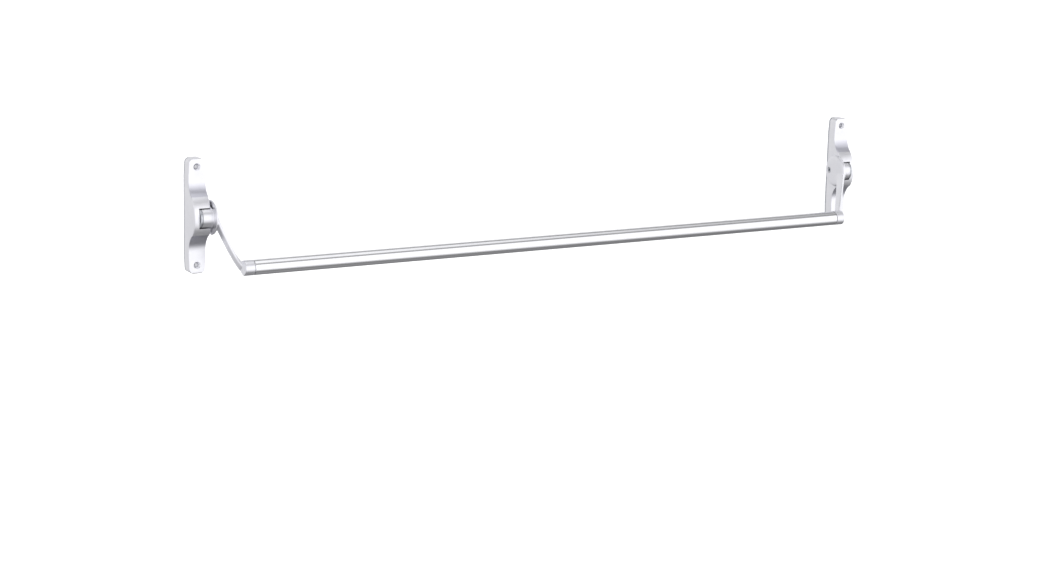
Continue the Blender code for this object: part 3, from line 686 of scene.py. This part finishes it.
def housing_heights():
    """Heights of the housing's cross-sections, closest together where it curves most."""
    top_corner = [HALF_HEIGHT - TOP_CORNER * (1 - math.cos(math.radians(t)))
                  for t in range(0, 91, CORNER_STEP)]
    corner = [height for height in top_corner if height < HALF_HEIGHT - SAME_HEIGHT]
    upper_fillet = CREASE_TOP + fillet_run(CREASE_TOP)
    lower_fillet = CREASE_BOTTOM - fillet_run(CREASE_BOTTOM)
    heights = [HALF_HEIGHT, *corner, TAPER_START]
    heights += spread(upper_fillet, CREASE_TOP, SWEEP_SECTIONS)
    heights += spread(CREASE_TOP, CREASE_BOTTOM, CROWN_SECTIONS)
    heights += spread(CREASE_BOTTOM, lower_fillet, SWEEP_SECTIONS)
    heights += [lower_fillet, -TAPER_START, *[-height for height in corner], -HALF_HEIGHT]
    return sorted(set(heights), reverse=True)


def housing_body(side):
    """The housing's outer form, with its long front edges rounded."""
    sections = []
    for height in housing_heights():
        depth, half = front_depth(height), half_width_at(height)
        edge = edge_round(depth)
        ring = [(-half, HOUSING_BACK), (half, HOUSING_BACK)]
        ring += arc((half - edge, depth - edge), edge, 0, 90, EDGE_STEPS)
        ring += arc((edge - half, depth - edge), edge, 90, 180, EDGE_STEPS)
        sections.append([side.at(u, v, height) for u, v in ring])
    return loft(side.name + "_cover", sections)


def pocket(side, low, high):
    """Hollow behind the front wall between two heights, open at the back, as a cutter."""
    heights = spread(high, low, POCKET_STEPS) + [low]
    edge = [(front_depth(height) - WALL, height) for height in heights]
    outline = [(-WALL, high), *edge, (-WALL, low)]
    return prism("cut_pocket", outline, -POCKET_HALF_WIDTH, POCKET_HALF_WIDTH,
                 lambda v, w, u: side.at(u, v, w))


def mount_hole(side, height):
    """Countersunk mounting hole, right through the housing's end pad, as a cutter."""
    profile = ((-WALL, MOUNT_HOLE), (PAD_DEPTH - MOUNT_SINK_DEPTH, MOUNT_HOLE),
               (PAD_DEPTH, MOUNT_SINK), (PAD_DEPTH + WALL, MOUNT_SINK))
    return turned("cut_mount_hole", side, profile, (0, height), "v", SMALL)


def spring_notch(side):
    """Room behind the spring pocket where the fixed leg swings, as a cutter."""
    reach = SPRING_POCKET + CHEEK
    outline = [(0, 0), *arc((0, 0), reach, *SPRING_SWEEP, EDGE_STEPS)]
    notch = prism("cut_notch", outline, SPRING_POCKET_FLOOR, 0,
                  lambda back, up, u: side.at(u, PIVOT_DEPTH - back, up))
    core_radius = (BOSS_RADIUS + SPRING_POCKET) / 2
    core_profile = ((SPRING_POCKET_FLOOR - WALL, core_radius), (WALL, core_radius))
    core = turned("keep_core", side, core_profile, (PIVOT_DEPTH, 0), facets=SMALL)
    cut(notch, core)
    return notch


def make_cover(side):
    """Housing, hollow from behind, with its bore, spring pocket and screw holes."""
    cover = housing_body(side)
    pivot = (PIVOT_DEPTH, 0)
    chamber = block("cut_chamber", side, (-CHEEK, POCKET_HALF_WIDTH), (-WALL, CHAMBER_DEPTH),
                    (GAP - POCKET_END, POCKET_END - GAP))
    throat = block("cut_throat", side, (2 * SLIVER - CHEEK, POCKET_HALF_WIDTH - GAP),
                   (-WALL - GAP, THROAT_DEPTH), (WALL - HUB_RADIUS, HUB_RADIUS - WALL))
    bore_profile = ((-CHEEK - SLIVER, BORE_RADIUS), (side.disc_end, BORE_RADIUS))
    bore = turned("cut_bore", side, bore_profile, pivot)
    ring_profile = ((SPRING_POCKET_FLOOR, BOSS_RADIUS), (SPRING_POCKET_FLOOR, SPRING_POCKET),
                    (0, SPRING_POCKET), (0, BOSS_RADIUS))
    ring = turned("cut_spring", side, ring_profile, pivot, facets=SMALL, ring=True)
    socket_radius = SHAFT_RADIUS + GAP
    socket_profile = ((SHAFT_START - GAP, socket_radius), (0, socket_radius))
    socket = turned("cut_socket", side, socket_profile, pivot, facets=SMALL)
    cut(cover, pocket(side, POCKET_START, POCKET_END), pocket(side, -POCKET_END, -POCKET_START),
        chamber, throat, bore, ring, spring_notch(side), socket)
    screw_profile = ((0, PLATE_SCREW_HOLE), (PLATE_SCREW_DEPTH, PLATE_SCREW_HOLE))
    for way in (1, -1):
        screw_hole = turned("cut_plate_screw", side, screw_profile,
                            (0, way * PLATE_SCREW_HEIGHT), "v", SMALL)
        cut(cover, mount_hole(side, way * MOUNT_HEIGHT), screw_hole)
    # mask for the painted shade in the concave sweeps
    mark_painted_shade(cover)
    shade(cover)
    return place_piece(cover, "cast_aluminium", ROOT_BODY, side.name + "_housing")


def plate_outline():
    """The bracket's front outline, (u, w) all round: straight sides, narrowed rounded ends."""
    across, up = TOP_HALF_WIDTH - TOP_CORNER, HALF_HEIGHT - TOP_CORNER
    outline = [(HALF_WIDTH, -TAPER_START), (HALF_WIDTH, TAPER_START)]
    outline += arc((across, up), TOP_CORNER, 0, 90, PLATE_CORNER_STEPS)
    outline += arc((-across, up), TOP_CORNER, 90, 180, PLATE_CORNER_STEPS)
    outline += [(-HALF_WIDTH, TAPER_START), (-HALF_WIDTH, -TAPER_START)]
    outline += arc((-across, -up), TOP_CORNER, 180, 270, PLATE_CORNER_STEPS)
    outline += arc((across, -up), TOP_CORNER, 270, 360, PLATE_CORNER_STEPS)
    return outline


def make_plate(side):
    """Back plate with its mounting, screw and bumper holes, and the lock side's window."""
    plate = prism(side.name + "_mounting_plate", plate_outline(), 0, PLATE_THICK,
                  lambda u, w, v: side.at(u, v, w))
    beyond = 2 * PLATE_THICK
    sink = ((-WALL, PLATE_SCREW_SINK), (PLATE_SCREW_LIP, PLATE_SCREW_SINK),
            (PLATE_SCREW_CONE, PLATE_SCREW_HOLE), (beyond, PLATE_SCREW_HOLE))
    for way in (1, -1):
        mount = turned("cut_mount", side, ((-WALL, MOUNT_HOLE), (beyond, MOUNT_HOLE)),
                       (0, way * MOUNT_HEIGHT), "v", SMALL)
        screw = turned("cut_screw", side, sink, (0, way * PLATE_SCREW_HEIGHT), "v", SMALL)
        cut(plate, mount, screw)
    for label in ("rest", "press"):
        bumper = f"{side.name}_{label}_bumper"
        if bumper in frame["nodes"]:
            stem = turned("cut_stem", side, ((-WALL, BUMPER_STEM), (beyond, BUMPER_STEM)),
                          (BUMPER_MIDDLE, node_middle(bumper).z), "v", SMALL)
            cut(plate, stem)
    if side is LOCK:
        cut(plate, block("cut_window", side, WINDOW[0], (-WALL, beyond), WINDOW[1]))
    soften(plate, PLATE_EDGE)
    shade(plate)
    return place_piece(plate, "zinc_steel", ROOT_BODY, side.name + "_back_plate")


# Lever arm and crossbar -------------------------------------------------------------------

def blade_section(side, middle, half_width, half_thick, lean, splay):
    """Rounded oblong section of the blade: lean tips its width, splay turns its thickness."""
    wide = Vector((0, math.cos(math.radians(lean)), math.sin(math.radians(lean))))
    thick = Vector((math.cos(math.radians(splay)), 0, math.sin(math.radians(splay))))
    points = []
    for k in range(2 * BLADE_CORNERS):
        turn = math.pi * (k + 0.5) / BLADE_CORNERS
        a = math.copysign(half_width, math.cos(turn)) * abs(math.cos(turn)) ** BLADE_POWER
        b = math.copysign(half_thick, math.sin(turn)) * abs(math.sin(turn)) ** BLADE_POWER
        points.append(side.at(*(Vector(middle) + wide * a + thick * b)))
    return points


def blade_stations():
    """The blade's table drawn out into closely spaced stations on a smooth curve."""
    stations = []
    padded = [BLADE[0], *BLADE, BLADE[-1]]
    for four in zip(padded, padded[1:], padded[2:], padded[3:]):
        for share in spread(0, 1, BLADE_STEPS):
            stations.append([smooth_between(*values, share) for values in zip(*four)])
    return stations + [BLADE[-1]]


def smooth_between(before, start, end, after, t):
    """Value a share t of the way from start to end on a curve through all four."""
    bend = 2 * before - 5 * start + 4 * end - after
    twist = 3 * start - before - 3 * end + after
    return start + 0.5 * t * (end - before + t * (bend + t * twist))


def head_profile(side):
    """The hub and the domed disc at its inner end, as (u, radius) from the outer end."""
    profile = [(HUB_START, HUB_RADIUS), (DISC_START, HUB_RADIUS)]
    edge_middle = (DISC_START + DISC_BACK_EDGE, DISC_RADIUS - DISC_BACK_EDGE)
    profile += arc(edge_middle, DISC_BACK_EDGE, 180, 90, DISC_EDGE_STEPS)
    rim = side.disc_end - DOME_RISE
    first = 0 if rim > DISC_START + DISC_BACK_EDGE else DOME_STEPS // 4
    for k in range(first, DOME_STEPS + 1):
        turn = math.pi / 2 * k / DOME_STEPS
        profile.append((rim + DOME_RISE * math.sin(turn),
                        DISC_RADIUS - DOME_RUN * (1 - math.cos(turn))))
    return profile


def make_tenon(side):
    """Round tenon with two flats, on the hub's outer end."""
    flat = [(-TENON_RADIUS, -TENON_FLAT), (TENON_RADIUS, -TENON_FLAT),
            (TENON_RADIUS, TENON_FLAT), (-TENON_RADIUS, TENON_FLAT)]
    tenon = prism("join_tenon", flat, TENON_START, HUB_START + WALL,
                  lambda v, w, u: side.at(u, PIVOT_DEPTH + v, w))
    round_profile = ((TENON_START - WALL, TENON_RADIUS), (2 * WALL, TENON_RADIUS))
    combine(tenon, "INTERSECT", turned("keep_tenon", side, round_profile, (PIVOT_DEPTH, 0)))
    return tenon


def make_arm(side):
    """Hub, disc, blade, elbow and spigot as one casting."""
    pivot, bar = (PIVOT_DEPTH, 0), (BAR_DEPTH, BAR_HEIGHT)
    arm = turned(side.name + "_arm", side, head_profile(side), pivot)
    tenon = make_tenon(side)
    blade_sections = [blade_section(side, station[:3], *station[3:])
                      for station in blade_stations()]
    blade = loft("join_blade", blade_sections)
    elbow_profile = arc((ELBOW_START + ELBOW_EDGE, TUBE_RADIUS - ELBOW_EDGE), ELBOW_EDGE,
                        180, 90, EDGE_STEPS)
    elbow = turned("join_elbow", side, (*elbow_profile, (ELBOW_END, TUBE_RADIUS)), bar)
    radius = TUBE_RADIUS - TUBE_WALL - GAP
    spigot_profile = ((ELBOW_END - WALL, radius), (SPIGOT_END - SPIGOT_CHAMFER, radius),
                      (SPIGOT_END, radius - SPIGOT_CHAMFER))
    spigot = turned("join_spigot", side, spigot_profile, bar)
    join(arm, tenon, blade, elbow, spigot)

    hub_hole = ((TENON_START - WALL, HUB_HOLE), (HUB_HOLE_END, HUB_HOLE))
    cut(arm, turned("cut_hub", side, hub_hole, pivot))
    leg_radius = SPRING_WIRE + LEG_CLEARANCE
    leg_hole = ((TENON_START - WALL, leg_radius), (SPRING_LEG_END + LEG_HOLE_PAST, leg_radius))
    cut(arm, turned("cut_leg", side, leg_hole, (PIVOT_DEPTH - SPRING_RADIUS, 0), facets=SMALL))
    cut(arm, *[tube_screw_hole(side, along) for along in TUBE_SCREWS])
    if side is LOCK:
        dog_hole = ((0, DOG_HOLE), (side.disc_end + WALL, DOG_HOLE))
        cut(arm, turned("cut_dog", side, dog_hole, (DOG_DEPTH, 0), facets=SMALL))
    cast_surface(arm)
    return place_piece(arm, "cast_aluminium", ARM_BODY, side.name + "_lever_arm")


def cast_surface(target):
    """Give a joined shape the small even radii that a casting has."""
    remesh = target.modifiers.new("even_grid", "REMESH")
    remesh.mode = "VOXEL"
    remesh.voxel_size = CASTING_VOXEL
    relax = target.modifiers.new("relax", "SMOOTH")
    relax.factor = CASTING_RELAX
    relax.iterations = CASTING_SMOOTHING
    settle(target)
    target.data.shade_smooth()


def tube_screw_hole(side, along):
    """Hole for a tube screw, from below up into the tube's inside, as a cutter."""
    profile = ((BAR_HEIGHT - TUBE_RADIUS - WALL, TUBE_SCREW_HOLE),
               (BAR_HEIGHT - TUBE_SCREW_TOP, TUBE_SCREW_HOLE))
    return turned("cut_tube_screw", side, profile, (along, BAR_DEPTH), "w", SMALL)


def make_tube():
    """Crossbar tube with its ends' edges broken, and four set screw holes."""
    low, high = TUBE_LOW.x + BRACKET_SPACING, TUBE_HIGH.x + BRACKET_SPACING
    edge, inner = TUBE_EDGE, TUBE_RADIUS - TUBE_WALL
    profile = ((low, inner + edge), (low, TUBE_RADIUS - edge), (low + edge, TUBE_RADIUS),
               (high - edge, TUBE_RADIUS), (high, TUBE_RADIUS - edge), (high, inner + edge),
               (high - edge, inner), (low + edge, inner))
    tube = turned("crossbar", HINGE, profile, (BAR_DEPTH, BAR_HEIGHT), ring=True)
    cut(tube, *[tube_screw_hole(side, along) for side in (HINGE, LOCK) for along in TUBE_SCREWS])
    shade(tube)
    return place_piece(tube, "bar_aluminium", ARM_BODY, "crossbar_tube")


# Springs and small pieces -----------------------------------------------------------------

def make_torsion_spring(side):
    """Return spring: a leg out through the cheek's notch, the coil, a leg into the tenon."""
    def on_coil(angle, radius, u):
        return side.at(u, PIVOT_DEPTH - radius * math.cos(angle), radius * math.sin(angle))

    start = -math.pi / 2
    steps = round(SPRING_TURNS * SPRING_STEPS)
    path = [on_coil(start, SPRING_POCKET + FIXED_LEG_REACH, SPRING_LOW),
            on_coil(start, SPRING_RADIUS + SPRING_BEND, SPRING_LOW)]
    for k in range(steps + 1):
        share = k / steps
        path.append(on_coil(start + share * SPRING_TURNS * 2 * math.pi, SPRING_RADIUS,
                            SPRING_LOW + share * (SPRING_HIGH - SPRING_LOW)))
    path.append(on_coil(0, SPRING_RADIUS, SPRING_HIGH + SPRING_BEND))
    path.append(on_coil(0, SPRING_RADIUS, SPRING_LEG_END))
    spring = wire(side.name + "_return_spring", path, SPRING_WIRE)
    shade(spring)
    return place_piece(spring, "spring_steel", ARM_BODY, side.name + "_torsion_spring")


def make_slide_spring():
    """Compression spring that shortens towards its fixed top end as the slide rises."""
    low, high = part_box("slide_spring")
    middle = (low + high) / 2
    radius = (high.x - low.x) / 2 - SLIDE_SPRING_WIRE
    start, end = low.z + SLIDE_SPRING_WIRE, high.z - SLIDE_SPRING_WIRE
    steps = SLIDE_SPRING_TURNS * SLIDE_SPRING_STEPS
    path = []
    for k in range(steps + 1):
        turn = 2 * math.pi * k / SLIDE_SPRING_STEPS
        path.append(Vector((middle.x + radius * math.cos(turn),
                            middle.y + radius * math.sin(turn),
                            start + k / steps * (end - start))))
    spring = wire("lift_spring", path, SLIDE_SPRING_WIRE)
    shade(spring)
    place_piece(spring, "spring_steel", ROOT_BODY, "slide_spring")
    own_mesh(spring)


def refine(node):
    """A CAD node's own shape again, with its sharp edges rounded."""
    original = frame["nodes"][node]
    material = original.data.materials[0].name.split(".")[0]
    shape = bmesh.new()
    shape.from_mesh(original.data)
    bmesh.ops.remove_doubles(shape, verts=shape.verts, dist=WELD)
    bmesh.ops.dissolve_limit(shape, angle_limit=math.radians(FLAT_ANGLE),
                             verts=shape.verts, edges=shape.edges)
    mesh = bpy.data.meshes.new(node)
    shape.to_mesh(mesh)
    shape.free()
    piece = bpy.data.objects.new(node + "_detail", mesh)
    bpy.context.scene.collection.objects.link(piece)
    soften(piece, EDGE_WIDTHS[material], PIECE_EDGE_ANGLE)
    shade(piece)
    return place_piece(piece, material, original["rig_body"], node)


def make_small_pieces():
    """Every CAD node that still shows is replaced by a softened copy of itself."""
    for node in sorted(frame["nodes"]):
        if not frame["nodes"][node].hide_render:
            refine(node)


# Stage ------------------------------------------------------------------------------------

def make_camera():
    """Camera where the photograph was taken from, turned by its yaw, pitch and roll."""
    data = bpy.data.cameras.new("camera")
    data.lens = CAMERA_LENS
    data.sensor_width = SENSOR_WIDTH
    data.sensor_fit = "HORIZONTAL"
    data.clip_end = CAMERA_REACH
    camera = bpy.data.objects.new("camera", data)
    bpy.context.scene.collection.objects.link(camera)
    forward = Vector((math.sin(CAMERA_YAW) * math.cos(CAMERA_PITCH),
                      math.cos(CAMERA_YAW) * math.cos(CAMERA_PITCH), -math.sin(CAMERA_PITCH)))
    level = Vector((math.cos(CAMERA_YAW), -math.sin(CAMERA_YAW), 0))
    raised = level.cross(forward)
    right = level * math.cos(CAMERA_ROLL) + raised * math.sin(CAMERA_ROLL)
    up = raised * math.cos(CAMERA_ROLL) - level * math.sin(CAMERA_ROLL)
    turn = Matrix((right, up, -forward)).transposed().to_4x4()
    camera.matrix_world = Matrix.Translation(CAMERA_PLACE) @ turn
    bpy.context.scene.camera = camera


def make_floor():
    """Plain pale floor that the metal doesn't mirror."""
    ways = ((-1, -1), (1, -1), (1, 1), (-1, 1))
    corners = [Vector((x * FLOOR_REACH, y * FLOOR_REACH, FLOOR_HEIGHT)) for x, y in ways]
    floor = add_object("floor", corners, [(0, 1, 2, 3)])
    floor.visible_glossy = False
    material, tree, shader = start_material("floor")
    tone = mix_colours(tree, add_noise(tree, FLOOR_PATCH_SCALE), *FLOOR_TONES)
    tree.links.new(tone, shader.inputs["Base Color"])
    shader.inputs["Roughness"].default_value = FLOOR_ROUGH
    shader.inputs["Specular IOR Level"].default_value = 0.0
    floor.data.materials.append(material)


def make_sky():
    """Soft studio surroundings: bright walls, a darker ceiling round a top light, a dark base."""
    world = bpy.data.worlds.new("studio")
    bpy.context.scene.world = world
    world.use_nodes = True
    tree = world.node_tree
    place = tree.nodes.new("ShaderNodeTexCoord")
    split = tree.nodes.new("ShaderNodeSeparateXYZ")
    ramp = tree.nodes.new("ShaderNodeValToRGB")
    tree.links.new(place.outputs["Generated"], split.inputs["Vector"])
    share = remap(tree, split.outputs["Z"], 0.0, 1.0, -1, 1)
    tree.links.new(share, ramp.inputs["Fac"])
    points = ramp.color_ramp.elements
    while len(points) < len(SKY):
        points.new(0.5)
    for point, (upward, brightness) in zip(points, SKY):
        point.position = (upward + 1) / 2
        point.color = (brightness, brightness, brightness, 1)
    front = remap(tree, split.outputs["Y"], *SKY_FRONT_AND_BACK, -1, 1)
    side = remap(tree, split.outputs["X"], SKY_LEFT, 1.0, *SKY_LEFT_SPAN)
    shaded = combine_values(tree, "MULTIPLY", ramp.outputs["Color"], front)
    background = tree.nodes["Background"]
    tree.links.new(combine_values(tree, "MULTIPLY", shaded, side), background.inputs["Strength"])
    background.inputs["Color"].default_value = (*SKY_TINT, 1)


def make_lights():
    """A broad light from above for the floor and the rough pieces."""
    data = bpy.data.lights.new("overhead", "SUN")
    data.energy = OVERHEAD_ENERGY
    data.angle = OVERHEAD_ANGLE
    light = bpy.data.objects.new("overhead", data)
    light.visible_glossy = False
    light.rotation_euler = OVERHEAD_TILT
    bpy.context.scene.collection.objects.link(light)


MADE_MATERIALS = make_materials()
for each_side in (HINGE, LOCK):
    make_cover(each_side)
    make_plate(each_side)
    make_arm(each_side)
    make_torsion_spring(each_side)
make_tube()
make_slide_spring()
make_small_pieces()
make_floor()
make_sky()
make_lights()
make_camera()
bpy.context.scene.view_settings.view_transform = "Standard"
